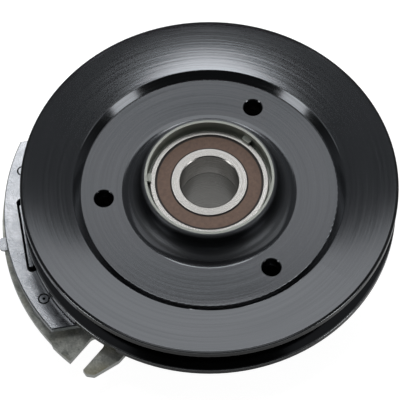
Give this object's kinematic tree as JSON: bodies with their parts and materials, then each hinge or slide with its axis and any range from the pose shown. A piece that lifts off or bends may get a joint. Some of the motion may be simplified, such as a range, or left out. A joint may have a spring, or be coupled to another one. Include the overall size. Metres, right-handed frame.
{
  "type": "electromagnetic clutch",
  "caption": "Electromagnetic clutch-brake: black V-groove pulley on a sealed bearing over a rotor, sprung armature, coil housing with forked flange, and a zinc-plated brake plate at one side.",
  "frame": {"origin": "on the shaft axis, in the plane of the hub's engine end, on which the housing's flat back also lies", "axes": "+Z along the shaft to the pulley's nose; -Y out through the anti-rotation slot; +Y out of the terminal socket"},
  "size_m": [0.1711, 0.1758, 0.0643],
  "materials": {
    "black_pulley": "black oxide over turned steel, satin",
    "bearing_steel": "ground bearing steel",
    "brown_seal": "moulded brown nitrile rubber",
    "cage_nylon": "moulded glass-filled nylon",
    "spring_steel": "blued spring steel",
    "rivet_steel": "headed steel, plated",
    "armature_steel": "ground low-carbon steel",
    "hub_steel": "turned steel",
    "rotor_steel": "turned low-carbon steel",
    "friction_lining": "moulded friction lining",
    "shell_steel": "black oxide on drawn steel",
    "flange_steel": "plated stamped steel",
    "zinc_plate": "bright zinc plate on stamped steel",
    "bobbin_nylon": "moulded natural nylon",
    "copper_wire": "enamelled copper wire",
    "potting_epoxy": "cast black epoxy",
    "lead_insulation": "extruded insulation",
    "black_nylon": "moulded black nylon",
    "tinned_brass": "tinned brass strip"
  },
  "bodies": {
    "field": {"field_shell": "shell_steel", "mounting_flange": "flange_steel", "coil_bobbin": "bobbin_nylon", "coil_winding": "copper_wire", "coil_potting": "potting_epoxy", "coil_leads": "lead_insulation", "terminal_housing": "black_nylon", "terminal_blades": "tinned_brass", "field_bearing_outer_ring": "bearing_steel", "field_bearing_front_seal": "brown_seal", "field_bearing_rear_seal": "brown_seal", "bearing_retaining_ring": "spring_steel", "brake_plate": "zinc_plate", "brake_bracket": "zinc_plate", "regap_shim": "zinc_plate", "brake_spacers": "rivet_steel", "brake_rivets": "rivet_steel"},
    "rotor": {"rotor_hub": "hub_steel", "rotor_disc": "rotor_steel", "friction_ring": "friction_lining", "hub_retaining_ring": "spring_steel", "field_bearing_inner_ring": "bearing_steel", "pulley_bearing_inner_ring": "bearing_steel"},
    "pulley_assembly": {"pulley": "black_pulley", "pulley_bearing_outer_ring": "bearing_steel", "pulley_bearing_front_seal": "brown_seal", "pulley_bearing_rear_seal": "brown_seal", "leaf_spring_1": "spring_steel", "leaf_spring_2": "spring_steel", "leaf_spring_3": "spring_steel", "spring_rivets": "rivet_steel"},
    "armature_assembly": {"armature": "armature_steel", "armature_rivets": "rivet_steel"},
    "field_bearing_set": {"field_bearing_cage": "cage_nylon", "field_bearing_balls": "bearing_steel"},
    "pulley_bearing_set": {"pulley_bearing_cage": "cage_nylon", "pulley_bearing_balls": "bearing_steel"}
  },
  "joints": [
    {"name": "rotor_spin", "type": "hinge", "parent": "field", "child": "rotor", "pos_m": [0, 0, 0.009], "axis": [0, 0, 1], "continuous": true},
    {"name": "pulley_spin", "type": "hinge", "parent": "rotor", "child": "pulley_assembly", "pos_m": [0, 0, 0.052], "axis": [0, 0, 1], "continuous": true},
    {"name": "armature_pull_in", "type": "slide", "parent": "pulley_assembly", "child": "armature_assembly", "axis": [0, 0, -1], "range_m": [0, 0.0005], "stiffness_N_per_m": 40000, "springref_m": -0.0015, "deforming": ["leaf_spring_1", "leaf_spring_2", "leaf_spring_3"]},
    {"name": "field_bearing_roll", "type": "hinge", "parent": "field", "child": "field_bearing_set", "pos_m": [0, 0, 0.009], "axis": [0, 0, 1], "continuous": true},
    {"name": "pulley_bearing_roll", "type": "hinge", "parent": "rotor", "child": "pulley_bearing_set", "pos_m": [0, 0, 0.052], "axis": [0, 0, 1], "continuous": true}
  ],
  "couplings": [
    {"joint": "field_bearing_roll", "follows": "rotor_spin", "ratio": 0.4181},
    {"joint": "pulley_bearing_roll", "follows": "pulley_spin", "ratio": 0.6026}
  ]
}
